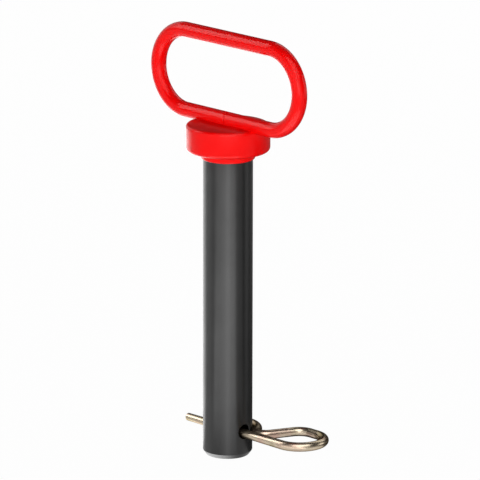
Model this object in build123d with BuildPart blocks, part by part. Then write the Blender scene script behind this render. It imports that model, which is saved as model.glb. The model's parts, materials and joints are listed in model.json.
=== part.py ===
from build123d import *

import os
from math import asin, atan2, degrees, hypot, sqrt

# Hitch clevis pin for a tractor drawbar, millimetres.
# The pin stands on its tip: the origin is the centre of the flat tip, +Z runs up the pin,
# and +X runs along the cross hole, out towards the loop of the hairpin clip.

# ---- pin: shank, collar and head, one upset forging ----
shank_diameter = 25.4       # 1 in
grip_length = 146.0         # from the centre of the cross hole to the underside of the head
tip_to_hole = 14.2          # from the flat tip to the centre of the cross hole
tip_chamfer_length = 2.5    # along the shank
tip_chamfer_depth = 1.85    # off the radius
head_diameter = 42.9
head_thickness = 13.8
head_top_round = 1.6        # rounded edges of the head
head_under_round = 2.2
collar_step = 1.1           # the collar stands this far out from the shank
collar_height = 4.0
collar_round = 0.8          # lower edge of the collar
hole_break = 0.3            # broken edge at each mouth of the cross hole

# ---- handle: one rod bent into an oval loop and welded down on the head ----
rod_diameter = 7.94         # 5/16 in
handle_straight_length = 60.6  # each long side of the oval
handle_bend_radius = 20.85  # centre line of the two end bends
bedding_depth = 1.8         # how deep the lower bar sits in the head
weld_gap = 0.02             # between the bar and its bed, all round
seam_gap = 0.25             # where the two ends of the rod butt together
seam_break = 0.25           # broken edge on each of those ends

# ---- hairpin clip: one spring wire ----
wire_diameter = 4.76        # 3/16 in
hole_clearance = 2.7        # cross hole over the wire, on the diameter
leg_gap = 0.3               # between the leg and the bottom of the hole
leg_reach = 16.6            # straight leg past the far side of the shank
loop_reach = 27.0           # from the near side of the shank to the centre of the loop's bend
loop_radius = 12.6          # centre line of the big bend
crown_length = 4.8          # straight back of the loop
shoulder_radius = 8.0       # centre lines of the smaller bends
neck_radius = 5.0
neck_gap = 0.3              # between the neck and the straight leg
grip_gap = 0.3              # between the spring leg and the shank
flare_radius = 12.0
flare_angle = 26.0
flare_length = 8.0
wire_break = 0.4            # broken edge on both cut ends

# ---- heights and radii that follow ----
shank_radius = shank_diameter / 2
head_radius = head_diameter / 2
collar_radius = shank_radius + collar_step
rod_radius = rod_diameter / 2
wire_radius = wire_diameter / 2
hole_radius = wire_radius + hole_clearance / 2
head_under = tip_to_hole + grip_length
head_top = head_under + head_thickness
collar_bottom = head_under - collar_height
bar_height = head_top - bedding_depth + rod_radius
leg_height = tip_to_hole - hole_radius + leg_gap + wire_radius

os.makedirs("parts", exist_ok=True)


# The pin is turned about Z, then drilled across and grooved for the handle's lower bar.
with BuildPart() as pin:
    with BuildSketch(Plane.YZ):
        with BuildLine():
            Polyline(
                (0, 0),
                (shank_radius - tip_chamfer_depth, 0),
                (shank_radius, tip_chamfer_length),
                (shank_radius, collar_bottom),
                (collar_radius, collar_bottom),
                (collar_radius, head_under),
                (head_radius, head_under),
                (head_radius, head_top),
                (0, head_top),
                close=True,
            )
        make_face()
    revolve(axis=Axis.Z)

    rims = pin.edges().filter_by(GeomType.CIRCLE).group_by(Axis.Z)
    top_rim = rims[-1].sort_by(SortBy.RADIUS)[-1]
    under_rim = rims[-2].sort_by(SortBy.RADIUS)[-1]
    collar_rim = rims[-3].sort_by(SortBy.RADIUS)[-1]
    fillet(top_rim, head_top_round)
    fillet(under_rim, head_under_round)
    fillet(collar_rim, collar_round)

    # cross hole for the clip, with its mouths broken
    with BuildSketch(Plane.YZ):
        with Locations((0, tip_to_hole)):
            Circle(hole_radius)
    extrude(amount=shank_diameter, both=True, mode=Mode.SUBTRACT)
    mouths = pin.edges(Select.LAST).filter_by(GeomType.BSPLINE)
    chamfer(mouths, hole_break)

    # bed for the handle
    with BuildSketch(Plane.YZ):
        with Locations((0, bar_height)):
            Circle(rod_radius + weld_gap)
    extrude(amount=head_radius, both=True, mode=Mode.SUBTRACT)

pin.part.label = "pin"
export_step(pin.part, "parts/pin.step")


# The rod starts and ends under the middle of the handle, where its two ends butt.
with BuildPart() as handle:
    with BuildLine(Plane.XZ) as rod_path:
        first_half = Line((seam_gap / 2, bar_height), (handle_straight_length / 2, bar_height))
        right_bend = JernArc(first_half @ 1, first_half % 1, handle_bend_radius, 180)
        top_bar = PolarLine(right_bend @ 1, handle_straight_length, direction=right_bend % 1)
        left_bend = JernArc(top_bar @ 1, top_bar % 1, handle_bend_radius, 180)
        PolarLine(left_bend @ 1, (handle_straight_length - seam_gap) / 2, direction=left_bend % 1)
    with BuildSketch(Plane(origin=rod_path.line @ 0, z_dir=rod_path.line % 0)):
        Circle(rod_radius)
    sweep(path=rod_path.line)
    chamfer(handle.faces().filter_by(Axis.X).edges(), seam_break)

handle.part.label = "handle"
export_step(handle.part, "parts/handle.step")


# The clip's bends, seen from above. The spring leg runs round the shank, so its bend there is
# centred on the pin's axis. The neck touches that bend from outside and passes the straight leg
# by its gap. A straight run, tangent to both, joins the neck to the shoulder of the loop.
grip_radius = shank_radius + grip_gap + wire_radius
neck_y = wire_diameter + neck_gap + neck_radius
neck_x = sqrt((grip_radius + neck_radius) ** 2 - neck_y**2)
neck_end_heading = degrees(atan2(neck_y, neck_x)) + 90
loop_x = shank_radius + loop_reach
shoulder_x = loop_x - crown_length
shoulder_y = 2 * loop_radius - shoulder_radius
bend_distance = hypot(shoulder_x - neck_x, shoulder_y - neck_y)
bend_heading = 360 + degrees(atan2(neck_y - shoulder_y, neck_x - shoulder_x))
run_heading = bend_heading + degrees(asin((shoulder_radius + neck_radius) / bend_distance))
run_length = sqrt(bend_distance**2 - (shoulder_radius + neck_radius) ** 2)

with BuildPart() as clip:
    with BuildLine(Plane.XY.offset(leg_height)) as wire_path:
        leg = Line((-shank_radius - leg_reach, 0), (loop_x, 0))
        loop = JernArc(leg @ 1, leg % 1, loop_radius, 180)
        crown = PolarLine(loop @ 1, crown_length, direction=loop % 1)
        shoulder = JernArc(crown @ 1, crown % 1, shoulder_radius, run_heading - 180)
        run = PolarLine(shoulder @ 1, run_length, direction=shoulder % 1)
        neck = JernArc(run @ 1, run % 1, neck_radius, neck_end_heading - run_heading)
        wrap = JernArc(neck @ 1, neck % 1, grip_radius, 180 - neck_end_heading)
        flare = JernArc(wrap @ 1, wrap % 1, flare_radius, -flare_angle)
        PolarLine(flare @ 1, flare_length, direction=flare % 1)
    with BuildSketch(Plane(origin=wire_path.line @ 0, z_dir=wire_path.line % 0)):
        Circle(wire_radius)
    sweep(path=wire_path.line)
    cut_ends = clip.faces().filter_by(GeomType.PLANE)
    chamfer(cut_ends.edges(), wire_break)

clip.part.label = "clip"
export_step(clip.part, "parts/clip.step")
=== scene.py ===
import json
from math import asin, atan2, cos, hypot, pi, radians, sin, sqrt, tan

import bmesh
import bpy
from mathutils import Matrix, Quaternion, Vector


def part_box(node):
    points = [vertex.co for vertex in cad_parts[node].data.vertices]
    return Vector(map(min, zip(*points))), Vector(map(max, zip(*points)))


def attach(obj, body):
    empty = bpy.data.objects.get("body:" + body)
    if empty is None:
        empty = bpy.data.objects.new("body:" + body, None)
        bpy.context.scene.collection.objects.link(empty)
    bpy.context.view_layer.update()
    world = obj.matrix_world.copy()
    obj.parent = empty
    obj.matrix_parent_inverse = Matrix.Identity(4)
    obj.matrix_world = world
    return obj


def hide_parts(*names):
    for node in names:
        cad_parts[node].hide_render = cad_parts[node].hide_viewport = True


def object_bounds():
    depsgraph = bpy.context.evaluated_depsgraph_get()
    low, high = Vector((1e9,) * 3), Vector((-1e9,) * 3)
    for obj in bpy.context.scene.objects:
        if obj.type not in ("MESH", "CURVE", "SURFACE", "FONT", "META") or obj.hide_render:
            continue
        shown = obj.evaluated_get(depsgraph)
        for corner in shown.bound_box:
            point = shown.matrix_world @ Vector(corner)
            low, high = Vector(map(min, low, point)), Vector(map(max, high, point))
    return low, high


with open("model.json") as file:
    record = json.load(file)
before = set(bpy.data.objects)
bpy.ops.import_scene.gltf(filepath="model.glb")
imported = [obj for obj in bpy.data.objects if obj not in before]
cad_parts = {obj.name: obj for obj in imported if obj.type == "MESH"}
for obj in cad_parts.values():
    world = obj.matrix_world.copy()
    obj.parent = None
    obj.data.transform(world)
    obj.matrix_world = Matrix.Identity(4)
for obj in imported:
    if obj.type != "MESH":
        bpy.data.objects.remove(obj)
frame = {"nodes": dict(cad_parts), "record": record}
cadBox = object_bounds()
mounts = {mount["name"]: mount for mount in frame["record"]["mounts"]}
mm = 0.001
crispAngle = radians(32)        # edges sharper than this stay crisp, the rest shade smooth
mergeDistance = 0.001 * mm      # points closer than this become one
print("frame loaded:", sorted(frame["nodes"]))


def toLinear(hexColour):
    # sRGB hex, such as "d0301c", to a linear RGBA colour
    channels = [int(hexColour[i:i + 2], 16) / 255 for i in (0, 2, 4)]
    linear = [c / 12.92 if c <= 0.04045 else ((c + 0.055) / 1.055) ** 2.4 for c in channels]
    return (*linear, 1.0)


def addNode(tree, kind, settings, inputs):
    # an input is a value, or the output socket that feeds it
    node = tree.nodes.new(kind)
    for name, value in settings.items():
        setattr(node, name, value)
    for name, value in inputs.items():
        if isinstance(value, bpy.types.NodeSocket):
            tree.links.new(value, node.inputs[name])
        else:
            node.inputs[name].default_value = value
    return node


def newMaterial(name):
    material = bpy.data.materials.new(name)
    material.use_nodes = True
    material.node_tree.nodes.clear()
    return material, material.node_tree


def finishMaterial(tree, shader):
    addNode(tree, "ShaderNodeOutputMaterial", {}, {"Surface": shader.outputs[0]})


def powderCoat():
    # Glossy signal-red powder coat, sprayed dry and baked: a thick even film with a wet gloss
    # and the faint dimples of orange peel. It pools a shade darker here and there.
    coat = {
        "red": "f00505",
        "deepRed": "e20303",
        "poolSize": 14 * mm,
        "peelSize": 1.3 * mm,
        "peelDepth": 0.0025 * mm,
        "roughness": 0.2,
        "gloss": 0.14,              # low, since the cards it reflects are strong
    }
    material, tree = newMaterial("glossyRedPowderCoat")
    place = addNode(tree, "ShaderNodeTexCoord", {}, {}).outputs["Object"]
    pools = addNode(tree, "ShaderNodeTexNoise", {}, {
        "Vector": place, "Scale": 1 / coat["poolSize"], "Detail": 3.0})
    colour = addNode(tree, "ShaderNodeMix", {"data_type": "RGBA"}, {
        0: pools.outputs["Fac"], 6: toLinear(coat["red"]), 7: toLinear(coat["deepRed"])})
    peel = addNode(tree, "ShaderNodeTexNoise", {}, {
        "Vector": place, "Scale": 1 / coat["peelSize"], "Detail": 1.0})
    dimples = addNode(tree, "ShaderNodeBump", {}, {
        "Height": peel.outputs["Fac"], "Distance": coat["peelDepth"], "Strength": 1.0})
    shader = addNode(tree, "ShaderNodeBsdfPrincipled", {}, {
        "Base Color": colour.outputs[2], "Roughness": coat["roughness"],
        "Specular IOR Level": coat["gloss"], "Normal": dimples.outputs["Normal"]})
    finishMaterial(tree, shader)
    return material


def blackOxide():
    # Ground steel with a black oxide finish, oiled: satin dark grey, with fine grinding rings
    # round the shank and a slightly uneven sheen. On one side the tip's chamfer is painted bright:
    # partly steel rubbed bare, partly a painted highlight where the light falls on it.
    oxide = {
        "grey": "494949",
        "darkGrey": "404040",
        "bareSteelAndHighlight": "c4c4c4",
        "chamferFadeStart": 2.3 * mm,        # the chamfer's rubbed steel and painted highlight reach up to here,
        "chamferFadeEnd": 2.6 * mm,       # and have faded out by here
        # the side where the light falls, towards which the chamfer gets a painted highlight
        "litSide": (-0.70, -0.71, 0.0),
        "litFrom": -7 * mm,        # towards the lit side, where the rubbing and the painted highlight start
        "litTo": 9 * mm,           # and where they are full
        "cloudSize": 22 * mm,
        "ringPitch": 0.5 * mm,      # real grinding marks are finer and would not show
        "ringDepth": 0.002 * mm,
        "ringWidth": 250 * mm,      # far wider than the shank, so a ring runs nearly all round it
        "grain": 0.9,               # how far the rings stretch a highlight
        "smooth": 0.36,             # the roughness drifts between these two
        "rough": 0.46,
    }
    material, tree = newMaterial("blackOxideSteel")
    place = addNode(tree, "ShaderNodeTexCoord", {}, {}).outputs["Object"]
    clouds = addNode(tree, "ShaderNodeTexNoise", {}, {
        "Vector": place, "Scale": 1 / oxide["cloudSize"], "Detail": 4.0})
    oxideColour = addNode(tree, "ShaderNodeMix", {"data_type": "RGBA"}, {
        0: clouds.outputs["Fac"], 6: toLinear(oxide["grey"]), 7: toLinear(oxide["darkGrey"])})
    height = addNode(tree, "ShaderNodeSeparateXYZ", {}, {"Vector": place}).outputs["Z"]
    # the chamfer is painted bright on one side: rubbed bare steel, and a painted highlight where light
    # falls
    low = addNode(tree, "ShaderNodeMapRange", {"interpolation_type": "SMOOTHSTEP"}, {
        "Value": height, "From Min": oxide["chamferFadeStart"], "From Max": oxide["chamferFadeEnd"],
        "To Min": 1.0, "To Max": 0.0})
    towardsLight = addNode(tree, "ShaderNodeVectorMath", {"operation": "DOT_PRODUCT"}, {
        0: place, 1: oxide["litSide"]})
    paintedHighlight = addNode(tree, "ShaderNodeMapRange", {"interpolation_type": "SMOOTHSTEP"}, {
        "Value": towardsLight.outputs["Value"], "From Min": oxide["litFrom"], "From Max": oxide["litTo"],
        "To Min": 0.0, "To Max": 1.0})
    rubAndHighlightMask = addNode(tree, "ShaderNodeMath", {"operation": "MULTIPLY"}, {
        0: low.outputs[0], 1: paintedHighlight.outputs[0]})
    colour = addNode(tree, "ShaderNodeMix", {"data_type": "RGBA"}, {
        0: rubAndHighlightMask.outputs[0], 6: oxideColour.outputs[2], 7: toLinear(oxide["bareSteelAndHighlight"])})
    sheen = addNode(tree, "ShaderNodeMapRange", {}, {
        "Value": clouds.outputs["Fac"], "To Min": oxide["smooth"], "To Max": oxide["rough"]})
    alongShank = addNode(tree, "ShaderNodeMapping", {}, {
        "Vector": place,
        "Scale": (1 / oxide["ringWidth"], 1 / oxide["ringWidth"], 1 / oxide["ringPitch"])})
    rings = addNode(tree, "ShaderNodeTexNoise", {}, {
        "Vector": alongShank.outputs["Vector"], "Scale": 1.0, "Detail": 2.0})
    grooves = addNode(tree, "ShaderNodeBump", {}, {
        "Height": rings.outputs["Fac"], "Distance": oxide["ringDepth"], "Strength": 1.0})
    alongPin = addNode(tree, "ShaderNodeCombineXYZ", {}, {"Z": 1.0})
    shader = addNode(tree, "ShaderNodeBsdfPrincipled", {}, {
        "Base Color": colour.outputs[2], "Metallic": 1.0, "Roughness": sheen.outputs[0],
        "Anisotropic": oxide["grain"], "Tangent": alongPin.outputs[0],
        "Normal": grooves.outputs["Normal"]})
    finishMaterial(tree, shader)
    return material


def yellowZinc():
    # Zinc-plated spring wire with a yellow chromate: bright metal under a thin film that drifts
    # between straw, olive and rose and turns brown at a low angle. The drawing die left faint
    # lines along the wire, and the film is darker in them.
    zinc = {
        "straw": "cdbfa9",
        "olive": "a59a7c",
        "rose": "c4a798",
        "brown": "553c20",
        "olivePlace": 0.36,         # where each colour sits in the drift
        "strawPlace": 0.5,
        "rosePlace": 0.64,
        "driftSize": 16 * mm,
        "lineWidth": 0.9 * mm,      # real die lines are finer and would not show
        "lineLength": 90 * mm,
        "lineDepth": 0.004 * mm,
        "lineShare": 0.6,           # how much of the brown shows in the deepest lines
        "lineDeep": 0.35,           # levels of the line pattern where a line is deepest,
        "lineGone": 0.55,           # and where it has faded out
        "roughness": 0.28,
        "edgeTint": (0.12, 0.09, 0.06, 1.0),
    }
    material, tree = newMaterial("yellowZincWire")
    place = addNode(tree, "ShaderNodeAttribute", {"attribute_name": "alongWire"}, {}).outputs["Vector"]
    drift = addNode(tree, "ShaderNodeTexNoise", {}, {
        "Vector": place, "Scale": 1 / zinc["driftSize"], "Detail": 2.0})
    film = addNode(tree, "ShaderNodeValToRGB", {}, {"Fac": drift.outputs["Fac"]})
    olive, rose = film.color_ramp.elements
    olive.position = zinc["olivePlace"]
    olive.color = toLinear(zinc["olive"])
    rose.position = zinc["rosePlace"]
    rose.color = toLinear(zinc["rose"])
    straw = film.color_ramp.elements.new(zinc["strawPlace"])
    straw.color = toLinear(zinc["straw"])
    stretched = addNode(tree, "ShaderNodeMapping", {}, {
        "Vector": place,
        "Scale": (1 / zinc["lineWidth"], 1 / zinc["lineWidth"], 1 / zinc["lineLength"])})
    lines = addNode(tree, "ShaderNodeTexNoise", {}, {
        "Vector": stretched.outputs["Vector"], "Scale": 1.0, "Detail": 2.0})
    inLine = addNode(tree, "ShaderNodeMapRange", {}, {
        "Value": lines.outputs["Fac"], "From Min": zinc["lineDeep"], "From Max": zinc["lineGone"],
        "To Min": zinc["lineShare"], "To Max": 0.0})
    colour = addNode(tree, "ShaderNodeMix", {"data_type": "RGBA"}, {
        0: inLine.outputs[0], 6: film.outputs["Color"], 7: toLinear(zinc["brown"])})
    grooves = addNode(tree, "ShaderNodeBump", {}, {
        "Height": lines.outputs["Fac"], "Distance": zinc["lineDepth"], "Strength": 1.0})
    shader = addNode(tree, "ShaderNodeBsdfPrincipled", {}, {
        "Base Color": colour.outputs[2], "Metallic": 1.0, "Roughness": zinc["roughness"],
        "Specular Tint": zinc["edgeTint"], "Normal": grooves.outputs["Normal"]})
    finishMaterial(tree, shader)
    return material


redCoat = powderCoat()
darkSteel = blackOxide()
zincWire = yellowZinc()
print("finishes made")


def newTree(name, sockets):
    tree = bpy.data.node_groups.new(name, "GeometryNodeTree")
    tree.interface.new_socket("Geometry", in_out="OUTPUT", socket_type="NodeSocketGeometry")
    tree.interface.new_socket("Geometry", in_out="INPUT", socket_type="NodeSocketGeometry")
    for label, kind in sockets.items():
        tree.interface.new_socket(label, in_out="INPUT", socket_type=kind)
    return tree


def roundedCorners(tree, given):
    # The guide's corners are rounded, each to its own radius from the "bend" attribute.
    guide = addNode(tree, "GeometryNodeMeshToCurve", {}, {"Mesh": given.outputs["Geometry"]})
    bend = addNode(tree, "GeometryNodeInputNamedAttribute", {"data_type": "FLOAT"}, {"Name": "bend"})
    return addNode(tree, "GeometryNodeFilletCurve", {"mode": "POLY"}, {
        "Curve": guide.outputs["Curve"], "Count": given.outputs["Corner steps"],
        "Radius": bend.outputs["Attribute"], "Limit Radius": False})


def finishTree(tree, given, mesh):
    # Close points merge, edges turn crisp or smooth, and the part gets its finish.
    joined = addNode(tree, "GeometryNodeMergeByDistance", {}, {
        "Geometry": mesh, "Distance": mergeDistance})
    smooth = addNode(tree, "GeometryNodeSetShadeSmooth", {}, {"Geometry": joined.outputs[0]})
    angle = addNode(tree, "GeometryNodeInputMeshEdgeAngle", {}, {})
    isCrisp = addNode(tree, "FunctionNodeCompare", {"operation": "GREATER_THAN"}, {
        0: angle.outputs["Unsigned Angle"], 1: crispAngle})
    crisp = addNode(tree, "GeometryNodeSetShadeSmooth", {"domain": "EDGE"}, {
        "Geometry": smooth.outputs[0], "Selection": isCrisp.outputs[0], "Shade Smooth": False})
    real = addNode(tree, "GeometryNodeRealizeInstances", {}, {"Geometry": crisp.outputs[0]})
    dressed = addNode(tree, "GeometryNodeSetMaterial", {}, {
        "Geometry": real.outputs[0], "Material": given.outputs["Finish"]})
    addNode(tree, "NodeGroupOutput", {}, {"Geometry": dressed.outputs[0]})


def bentWireTree():
    tree = newTree("bentWire", {
        "Diameter": "NodeSocketFloat", "Edge break": "NodeSocketFloat", "Sides": "NodeSocketInt",
        "Corner steps": "NodeSocketInt", "Finish": "NodeSocketMaterial"})
    given = addNode(tree, "NodeGroupInput", {}, {})
    path = roundedCorners(tree, given)

    # the last ring at each end is smaller, which breaks the edge of the cut
    twoBreaks = addNode(tree, "ShaderNodeMath", {"operation": "MULTIPLY"}, {
        0: given.outputs["Edge break"], 1: 2.0})
    share = addNode(tree, "ShaderNodeMath", {"operation": "DIVIDE"}, {
        0: twoBreaks.outputs[0], 1: given.outputs["Diameter"]})
    endSize = addNode(tree, "ShaderNodeMath", {"operation": "SUBTRACT"}, {0: 1.0, 1: share.outputs[0]})
    ends = addNode(tree, "GeometryNodeCurveEndpointSelection", {}, {"Start Size": 1, "End Size": 1})
    size = addNode(tree, "GeometryNodeSwitch", {"input_type": "FLOAT"}, {
        "Switch": ends.outputs[0], "False": 1.0, "True": endSize.outputs[0]})

    # how far along the wire, and where across it, so that a finish can follow the wire
    spline = addNode(tree, "GeometryNodeSplineParameter", {}, {})
    number = {"data_type": "FLOAT", "domain": "POINT"}
    vector = {"data_type": "FLOAT_VECTOR", "domain": "POINT"}
    along = addNode(tree, "GeometryNodeStoreNamedAttribute", number, {
        "Geometry": path.outputs[0], "Name": "along", "Value": spline.outputs["Length"]})
    halfDiameter = addNode(tree, "ShaderNodeMath", {"operation": "MULTIPLY"}, {
        0: given.outputs["Diameter"], 1: 0.5})
    circle = addNode(tree, "GeometryNodeCurvePrimitiveCircle", {"mode": "RADIUS"}, {
        "Resolution": given.outputs["Sides"], "Radius": halfDiameter.outputs[0]})
    onCircle = addNode(tree, "GeometryNodeInputPosition", {}, {})
    across = addNode(tree, "GeometryNodeStoreNamedAttribute", vector, {
        "Geometry": circle.outputs[0], "Name": "across", "Value": onCircle.outputs[0]})
    wire = addNode(tree, "GeometryNodeCurveToMesh", {}, {
        "Curve": along.outputs[0], "Profile Curve": across.outputs[0],
        "Scale": size.outputs[0], "Fill Caps": True})
    alongRead = addNode(tree, "GeometryNodeInputNamedAttribute", {"data_type": "FLOAT"}, {
        "Name": "along"})
    acrossRead = addNode(tree, "GeometryNodeInputNamedAttribute", {"data_type": "FLOAT_VECTOR"}, {
        "Name": "across"})
    lift = addNode(tree, "ShaderNodeCombineXYZ", {}, {"Z": alongRead.outputs["Attribute"]})
    both = addNode(tree, "ShaderNodeVectorMath", {"operation": "ADD"}, {
        0: acrossRead.outputs["Attribute"], 1: lift.outputs[0]})
    marked = addNode(tree, "GeometryNodeStoreNamedAttribute", vector, {
        "Geometry": wire.outputs[0], "Name": "alongWire", "Value": both.outputs[0]})
    finishTree(tree, given, marked.outputs[0])
    return tree


def turnedPartTree():
    tree = newTree("turnedPart", {
        "Sides": "NodeSocketInt", "Corner steps": "NodeSocketInt", "Finish": "NodeSocketMaterial"})
    given = addNode(tree, "NodeGroupInput", {}, {})
    outline = roundedCorners(tree, given)
    # The outline is carried round a very small circle. Its points there merge at the poles.
    axleRadius = mergeDistance / 10
    circle = addNode(tree, "GeometryNodeCurvePrimitiveCircle", {"mode": "RADIUS"}, {
        "Resolution": given.outputs["Sides"], "Radius": axleRadius})
    upright = addNode(tree, "GeometryNodeSetCurveNormal", {"mode": "Z_UP"}, {"Curve": circle.outputs[0]})
    turned = addNode(tree, "GeometryNodeCurveToMesh", {}, {
        "Curve": upright.outputs[0], "Profile Curve": outline.outputs[0]})
    # a profile's y points down from an upright path, so the part is turned over
    standing = addNode(tree, "GeometryNodeTransform", {}, {
        "Geometry": turned.outputs[0], "Rotation": (pi, 0, 0)})
    finishTree(tree, given, standing.outputs[0])
    return tree


def guideMesh(name, corners):
    # corners: (x, y, z, bend radius), in order along the guide
    mesh = bpy.data.meshes.new(name)
    mesh.from_pydata([c[:3] for c in corners], [(i, i + 1) for i in range(len(corners) - 1)], [])
    mesh.attributes.new("bend", "FLOAT", "POINT").data.foreach_set("value", [c[3] for c in corners])
    piece = bpy.data.objects.new(name, mesh)
    bpy.context.scene.collection.objects.link(piece)
    return piece


def makeFromTree(piece, tree, values):
    modifier = piece.modifiers.new(tree.name, "NODES")
    modifier.node_group = tree
    for socket in tree.interface.items_tree:
        if socket.in_out == "INPUT" and socket.name in values:
            modifier[socket.identifier] = values[socket.name]
    evaluated = piece.evaluated_get(bpy.context.evaluated_depsgraph_get())
    mesh = bpy.data.meshes.new_from_object(evaluated)
    piece.modifiers.clear()
    piece.data = mesh
    return piece


def faceOutwards(piece):
    shape = bmesh.new()
    shape.from_mesh(piece.data)
    bmesh.ops.recalc_face_normals(shape, faces=shape.faces)
    shape.to_mesh(piece.data)
    shape.free()


bentWire = bentWireTree()
turnedPart = turnedPartTree()
print("node trees built")


pin = {
    "shankRadius": mounts["shank"]["dims"]["r_mm"] * mm,
    "headRadius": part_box("pin")[1].x,
    "headTop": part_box("pin")[1].z,
    "headUnder": mounts["head_seat"]["pos_m"][2],
    "headTopRound": 1.6 * mm,
    "headUnderRound": 2.2 * mm,
    "collarStep": 1.1 * mm,
    "collarHeight": 4.0 * mm,
    "collarRound": 0.8 * mm,
    "tipChamferLength": 2.5 * mm,
    "tipChamferDepth": 1.85 * mm,
    "tipRound": 0.5 * mm,
    "holeHeight": 14.2 * mm,
    "holeRadius": 3.73 * mm,
    "holeBreak": 0.3 * mm,
    "sides": 128,
    "cornerSteps": 8,
}
collarBottom = pin["headUnder"] - pin["collarHeight"]
collarRadius = pin["shankRadius"] + pin["collarStep"]

# The outline's x is the radius and its y is the height.
head = guideMesh("head", [
    (0, pin["headTop"], 0, 0),
    (pin["headRadius"], pin["headTop"], 0, pin["headTopRound"]),
    (pin["headRadius"], pin["headUnder"], 0, pin["headUnderRound"]),
    (collarRadius, pin["headUnder"], 0, pin["collarRound"]),
    (collarRadius, collarBottom, 0, pin["collarRound"]),
    (0, collarBottom, 0, 0),
])
makeFromTree(head, turnedPart, {
    "Sides": pin["sides"], "Corner steps": pin["cornerSteps"], "Finish": redCoat})
faceOutwards(head)
print("head made:", len(head.data.polygons), "faces")


def bridge(shape, ringA, ringB):
    # one quad for each pair of neighbours in two rings of the same length
    for i in range(len(ringA)):
        j = (i + 1) % len(ringA)
        shape.faces.new((ringA[i], ringA[j], ringB[j], ringB[i]))


def shankMesh(finish):
    # Rows run up the shank and columns round it. A square window of the grid is left open at each
    # mouth of the cross hole, and rings of quads run from the window in to the round mouth.
    columns = 120
    windowHalf = 7              # half the window's side, in columns
    ringCount = 4
    roundSteps = 4
    tipRing = 2 * mm            # a ring inside the tip's flat face keeps its shading flat
    overlap = 1 * mm            # how far the shank runs up inside the collar
    radius = pin["shankRadius"]
    step = 2 * pi / columns
    windowSize = radius * sin(windowHalf * step)

    tipEdge = Vector((radius - pin["tipChamferDepth"], 0))
    tipShoulder = Vector((radius, pin["tipChamferLength"]))
    chamfer = (tipShoulder - tipEdge).normalized()
    outline = [Vector((tipEdge.x - tipRing, 0))]
    roundings = ((tipEdge, Vector((-1, 0)), chamfer), (tipShoulder, -chamfer, Vector((0, 1))))
    for corner, before, after in roundings:
        for k in range(roundSteps + 1):
            t = k / roundSteps
            start = corner + before * pin["tipRound"]
            end = corner + after * pin["tipRound"]
            outline.append(start * (1 - t) ** 2 + corner * 2 * t * (1 - t) + end * t ** 2)
    lowRow = len(outline)
    for k in range(2 * windowHalf + 1):
        outline.append(Vector((radius, pin["holeHeight"] + windowSize * (k / windowHalf - 1))))
    highRow = len(outline) - 1
    outline.append(Vector((radius, collarBottom + overlap)))

    shape = bmesh.new()
    grid = [[shape.verts.new((r * cos(c * step), r * sin(c * step), z)) for c in range(columns)]
            for r, z in outline]

    def inWindow(row, column):
        offset = (column + windowHalf) % (columns // 2)
        return lowRow <= row < highRow and offset < 2 * windowHalf

    for row in range(len(grid) - 1):
        for column in range(columns):
            if not inWindow(row, column):
                following = (column + 1) % columns
                shape.faces.new((grid[row][column], grid[row][following],
                                 grid[row + 1][following], grid[row + 1][column]))
    shape.faces.new(reversed(grid[0]))
    shape.faces.new(grid[-1])

    bores = []
    for side, middle in ((1, 0), (-1, columns // 2)):
        left, right = middle - windowHalf, middle + windowHalf
        border = [(lowRow, c) for c in range(left, right)]
        border += [(r, right) for r in range(lowRow, highRow)]
        border += [(highRow, c) for c in range(right, left, -1)]
        border += [(r, left) for r in range(highRow, lowRow, -1)]
        ring = [grid[r][c % columns] for r, c in border]
        square = [(v.co.y, v.co.z - pin["holeHeight"]) for v in ring]
        headings = [atan2(z, y) for y, z in square]
        mouth = pin["holeRadius"] + pin["holeBreak"]
        for k in range(1, ringCount + 1):
            share = k / ringCount
            inner = []
            for (y, z), heading in zip(square, headings):
                yHere = y + (mouth * cos(heading) - y) * share
                zHere = z + (mouth * sin(heading) - z) * share
                xHere = side * sqrt(radius ** 2 - yHere ** 2)
                inner.append(shape.verts.new((xHere, yHere, pin["holeHeight"] + zHere)))
            bridge(shape, ring, inner)
            ring = inner
        bore = []
        for heading in headings:
            y = pin["holeRadius"] * cos(heading)
            z = pin["holeRadius"] * sin(heading)
            x = side * (sqrt(radius ** 2 - y ** 2) - pin["holeBreak"])
            bore.append(shape.verts.new((x, y, pin["holeHeight"] + z)))
        bridge(shape, ring, bore)
        bores.append(sorted(bore, key=lambda v: atan2(v.co.z - pin["holeHeight"], v.co.y)))
    bridge(shape, bores[0], bores[1])

    bmesh.ops.recalc_face_normals(shape, faces=shape.faces)
    for face in shape.faces:
        face.smooth = True
    for edge in shape.edges:
        edge.smooth = edge.calc_face_angle(0) < crispAngle
    mesh = bpy.data.meshes.new("shank")
    shape.to_mesh(mesh)
    shape.free()
    mesh.materials.append(finish)
    return mesh


shank = bpy.data.objects.new("shank", shankMesh(darkSteel))
bpy.context.scene.collection.objects.link(shank)
print("shank made:", len(shank.data.polygons), "faces")


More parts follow.
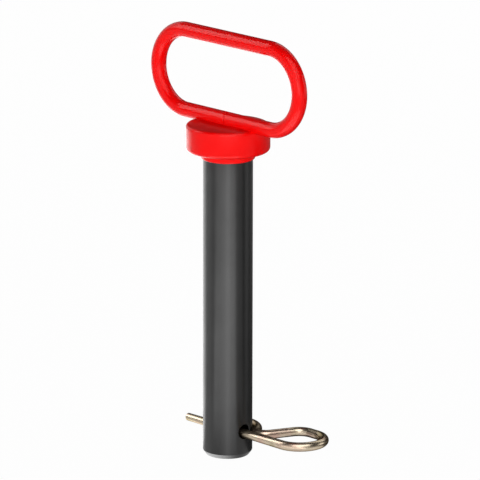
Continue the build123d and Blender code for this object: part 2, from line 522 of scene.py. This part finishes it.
handleLow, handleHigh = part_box("handle")
handle = {
    "rodDiameter": handleHigh.y - handleLow.y,
    "seamGap": 0.4 * mm,        # where the rod's two ends butt, drawn wide enough to show
    "edgeBreak": 0.35 * mm,
    "sides": 48,
    "cornerSteps": 40,
}
rodRadius = handle["rodDiameter"] / 2
endX = handleHigh.x - rodRadius
lowZ = handleLow.z + rodRadius
highZ = handleHigh.z - rodRadius
handleBend = (highZ - lowZ) / 2
seamX = handle["seamGap"] / 2
breakX = seamX + handle["edgeBreak"]
loop = guideMesh("handleLoop", [
    (seamX, 0, lowZ, 0),
    (breakX, 0, lowZ, 0),
    (endX, 0, lowZ, handleBend),
    (endX, 0, highZ, handleBend),
    (-endX, 0, highZ, handleBend),
    (-endX, 0, lowZ, handleBend),
    (-breakX, 0, lowZ, 0),
    (-seamX, 0, lowZ, 0),
])
makeFromTree(loop, bentWire, {
    "Diameter": handle["rodDiameter"], "Edge break": handle["edgeBreak"], "Sides": handle["sides"],
    "Corner steps": handle["cornerSteps"], "Finish": redCoat})
faceOutwards(loop)
print("handle made:", len(loop.data.polygons), "faces")


clipLow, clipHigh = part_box("clip")
clip = {
    "wireDiameter": clipHigh.z - clipLow.z,
    "loopRadius": 12.6 * mm,
    "crownLength": 4.8 * mm,
    "shoulderRadius": 8.0 * mm,
    "neckRadius": 5.0 * mm,
    "neckGap": 0.3 * mm,        # between the neck and the straight leg
    "gripGap": 0.3 * mm,        # between the spring leg and the shank
    "flareRadius": 12.0 * mm,
    "flareAngle": radians(26),
    "flareLength": 8.0 * mm,
    "edgeBreak": 0.4 * mm,
    "sides": 40,
    "cornerSteps": 32,
}
wireRadius = clip["wireDiameter"] / 2
legHeight = clipLow.z + wireRadius


def wireGuide(start, heading, moves):
    # Walks along the wire. A move is a straight length, or a bend as (radius, turn).
    # A bend becomes the corner where its tangents meet, and long bends are shared by two corners.
    longBend = radians(100)
    place = Vector(start)
    corners = [(place.x, place.y, legHeight, 0)]
    for move in moves:
        if isinstance(move, tuple):
            radius, turn = move
            parts = 2 if abs(turn) > longBend else 1
            for _ in range(parts):
                tangent = radius * tan(abs(turn) / parts / 2)
                place += tangent * Vector((cos(heading), sin(heading)))
                corners.append((place.x, place.y, legHeight, radius))
                heading += turn / parts
                place += tangent * Vector((cos(heading), sin(heading)))
        else:
            place += move * Vector((cos(heading), sin(heading)))
    corners.append((place.x, place.y, legHeight, 0))
    return corners


gripRadius = pin["shankRadius"] + clip["gripGap"] + wireRadius
neckY = clip["wireDiameter"] + clip["neckGap"] + clip["neckRadius"]
neckX = sqrt((gripRadius + clip["neckRadius"]) ** 2 - neckY ** 2)
neckEnd = atan2(neckY, neckX) + pi / 2
loopX = clipHigh.x - wireRadius - clip["loopRadius"]
shoulderX = loopX - clip["crownLength"]
shoulderY = 2 * clip["loopRadius"] - clip["shoulderRadius"]
bendDistance = hypot(shoulderX - neckX, shoulderY - neckY)
bendHeading = 2 * pi + atan2(neckY - shoulderY, neckX - shoulderX)
bothRadii = clip["shoulderRadius"] + clip["neckRadius"]
runHeading = bendHeading + asin(bothRadii / bendDistance)
runLength = sqrt(bendDistance ** 2 - bothRadii ** 2)

wire = guideMesh("hairpinWire", wireGuide((clipLow.x, 0), 0, [
    loopX - clipLow.x,
    (clip["loopRadius"], pi),
    clip["crownLength"],
    (clip["shoulderRadius"], runHeading - pi),
    runLength,
    (clip["neckRadius"], neckEnd - runHeading),
    (gripRadius, pi - neckEnd),
    (clip["flareRadius"], -clip["flareAngle"]),
    clip["flareLength"],
]))
makeFromTree(wire, bentWire, {
    "Diameter": clip["wireDiameter"], "Edge break": clip["edgeBreak"], "Sides": clip["sides"],
    "Corner steps": clip["cornerSteps"], "Finish": zincWire})
faceOutwards(wire)
print("clip made:", len(wire.data.polygons), "faces")


for piece, body, node, slot in (
    (shank, "pin_with_handle", "pin", "pin_steel"),
    (head, "pin_with_handle", "pin", "handle_coat"),
    (loop, "pin_with_handle", "handle", "handle_coat"),
    (wire, "hairpin_clip", "clip", "clip_wire"),
):
    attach(piece, body)
    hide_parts(node)


studio = {
    "floorSize": 30.0,
    "floorColour": "f4f4f4",
    "floorGlow": 0.975,          # the rest of the floor's white is lit, so it keeps a soft shadow
    "worldColour": "ffffff",
    "worldStrength": 0.03,
    "lampDistance": 1.6,
}
# Each softbox: degrees round the pin from the camera, degrees up, degrees of roll, width, height,
# share of full light, and what it is for: colours, reflections or both.
softboxes = {
    "wide": (-32, 8, 0, 3.2, 0.8, 0.82, "colours"),
    "front": (6, 8, 0, 1.7, 0.8, 0.68, "colours"),
    "wideCard": (-42, 15, 0, 3.2, 1.0, 0.32, "reflections"),
    "frontCard": (14, 15, 0, 1.5, 1.0, 0.1, "reflections"),
    "middleCard": (2, 18, 0, 0.56, 1.2, 0.14, "reflections"),
    "highCard": (8, 49, 0, 1.8, 1.1, 0.8, "reflections"),
    "lineCard": (-104, 32, 22, 0.45, 1.2, 0.3, "reflections"),
    "top": (160, 62, 0, 1.2, 1.2, 0.16, "colours"),
    "backCard": (150, 38, 0, 1.2, 0.7, 0.16, "reflections"),
    "right": (96, 12, 0, 0.7, 0.7, 0.12, "both"),
    "rim": (-140, 20, 0, 1.4, 1.1, 0.2, "both"),
    "back": (160, 24, 0, 1.2, 1.2, 0.22, "colours"),
}
# Sheets lie on the floor round one side of the pin, and only reflections see them.
felt = {
    "around": 127,              # degrees round the pin from the camera
    "spread": 53,
    "steps": 12,
    "near": 0.014,
    "far": 0.9,
    "lift": 0.5 * mm,
    "colour": "8c8c8c",
}
rimPanel = {
    "around": -150,
    "spread": 28,
    "steps": 8,
    "near": 0.014,
    "far": 0.9,
    "lift": 0.5 * mm,
    "strength": 2.6,
}
frontPanel = {
    "around": -14,
    "spread": 50,
    "steps": 12,
    "near": 0.08,
    "far": 0.28,
    "lift": 0.4 * mm,
    "strength": 4.0,
}
cameraView = {
    "azimuth": 45.96,
    "elevation": 14.78,
    "roll": 0.12,
    "distance": 2.664,
    "lens": 392.0,
    "sensorWidth": 36.0,
    "aimUp": 0.8 * mm,
    "aimAcross": (0.2 * mm, 5.3 * mm),
}


def directionTo(azimuth, elevation):
    a, e = radians(azimuth), radians(elevation)
    return Vector((sin(a) * cos(e), -cos(a) * cos(e), sin(e)))


def makeFloor():
    half = studio["floorSize"] / 2
    mesh = bpy.data.meshes.new("floor")
    corners = [(-half, -half, 0), (half, -half, 0), (half, half, 0), (-half, half, 0)]
    mesh.from_pydata(corners, [], [(0, 1, 2, 3)])
    floor = bpy.data.objects.new("floor", mesh)
    bpy.context.scene.collection.objects.link(floor)
    material, tree = newMaterial("whiteStudioFloor")
    rays = addNode(tree, "ShaderNodeLightPath", {}, {})
    seen = addNode(tree, "ShaderNodeMath", {"operation": "MAXIMUM"}, {
        0: rays.outputs["Is Camera Ray"], 1: rays.outputs["Is Glossy Ray"]})
    seenOrThrough = addNode(tree, "ShaderNodeMath", {"operation": "MAXIMUM"}, {
        0: seen.outputs[0], 1: rays.outputs["Is Transmission Ray"]})
    glow = addNode(tree, "ShaderNodeMath", {"operation": "MULTIPLY"}, {
        0: seenOrThrough.outputs[0], 1: studio["floorGlow"]})
    matt = addNode(tree, "ShaderNodeBsdfDiffuse", {}, {"Color": toLinear(studio["floorColour"])})
    white = addNode(tree, "ShaderNodeEmission", {}, {"Strength": 1.0})
    both = addNode(tree, "ShaderNodeMixShader", {}, {
        0: glow.outputs[0], 1: matt.outputs[0], 2: white.outputs[0]})
    finishMaterial(tree, both)
    mesh.materials.append(material)


def makeSheet(middle, name, sheet, material):
    corners = []
    for k in range(sheet["steps"] + 1):
        turn = sheet["around"] + sheet["spread"] * (2 * k / sheet["steps"] - 1)
        outwards = directionTo(cameraView["azimuth"] + turn, 0)
        for distance in (sheet["near"], sheet["far"]):
            corners.append((middle.x + outwards.x * distance, outwards.y * distance, sheet["lift"]))
    faces = [(2 * k, 2 * k + 2, 2 * k + 3, 2 * k + 1) for k in range(sheet["steps"])]
    mesh = bpy.data.meshes.new(name)
    mesh.from_pydata(corners, [], faces)
    mesh.materials.append(material)
    piece = bpy.data.objects.new(name, mesh)
    bpy.context.scene.collection.objects.link(piece)
    piece.visible_camera = False
    piece.visible_diffuse = False
    piece.visible_transmission = False
    piece.visible_shadow = False


def greyFelt():
    # keeps the white floor out of the right-hand edges
    material, tree = newMaterial("greyFelt")
    matt = addNode(tree, "ShaderNodeBsdfDiffuse", {}, {"Color": toLinear(felt["colour"])})
    finishMaterial(tree, matt)
    return material


def lightPanel(name, sheet):
    # one draws the bright line down the left-hand edges, the other brightens what faces down
    material, tree = newMaterial(name)
    light = addNode(tree, "ShaderNodeEmission", {}, {"Strength": sheet["strength"]})
    finishMaterial(tree, light)
    return material


def makeWorld():
    world = bpy.data.worlds.new("studioWorld")
    world.use_nodes = True
    tree = world.node_tree
    tree.nodes.clear()
    light = addNode(tree, "ShaderNodeBackground", {}, {
        "Color": toLinear(studio["worldColour"]), "Strength": studio["worldStrength"]})
    addNode(tree, "ShaderNodeOutputWorld", {}, {"Surface": light.outputs[0]})
    bpy.context.scene.world = world


def makeLamps(middle):
    # A lamp of power pi * pi * distance * distance lights a white card at the object to full white.
    for name, (around, up, roll, width, height, share, use) in softboxes.items():
        data = bpy.data.lights.new(name, "AREA")
        data.shape = "RECTANGLE"
        data.size = width
        data.size_y = height
        data.energy = share * pi * pi * studio["lampDistance"] ** 2
        lamp = bpy.data.objects.new(name, data)
        direction = directionTo(cameraView["azimuth"] + around, up)
        lamp.location = middle + direction * studio["lampDistance"]
        lamp.rotation_mode = "QUATERNION"
        turn = Quaternion((0, 0, 1), radians(roll))
        lamp.rotation_quaternion = direction.to_track_quat("Z", "Y") @ turn
        lamp.visible_glossy = use != "colours"
        lamp.visible_diffuse = use != "reflections"
        bpy.context.scene.collection.objects.link(lamp)


def makeCamera(middle):
    data = bpy.data.cameras.new("camera")
    data.lens = cameraView["lens"]
    data.sensor_width = cameraView["sensorWidth"]
    camera = bpy.data.objects.new("camera", data)
    direction = directionTo(cameraView["azimuth"], cameraView["elevation"])
    across = cameraView["aimAcross"]
    aim = middle + Vector((across[0], across[1], cameraView["aimUp"]))
    camera.location = aim + direction * cameraView["distance"]
    camera.rotation_mode = "QUATERNION"
    roll = Quaternion((0, 0, 1), radians(cameraView["roll"]))
    camera.rotation_quaternion = direction.to_track_quat("Z", "Y") @ roll
    bpy.context.scene.collection.objects.link(camera)
    bpy.context.scene.camera = camera


middle = (Vector(cadBox[0]) + Vector(cadBox[1])) / 2
makeFloor()
makeSheet(middle, "felt", felt, greyFelt())
makeSheet(middle, "rimPanel", rimPanel, lightPanel("rimLight", rimPanel))
makeSheet(middle, "frontPanel", frontPanel, lightPanel("frontLight", frontPanel))
makeWorld()
makeLamps(middle)
makeCamera(middle)
bpy.context.scene.view_settings.view_transform = "Standard"
print("studio made")
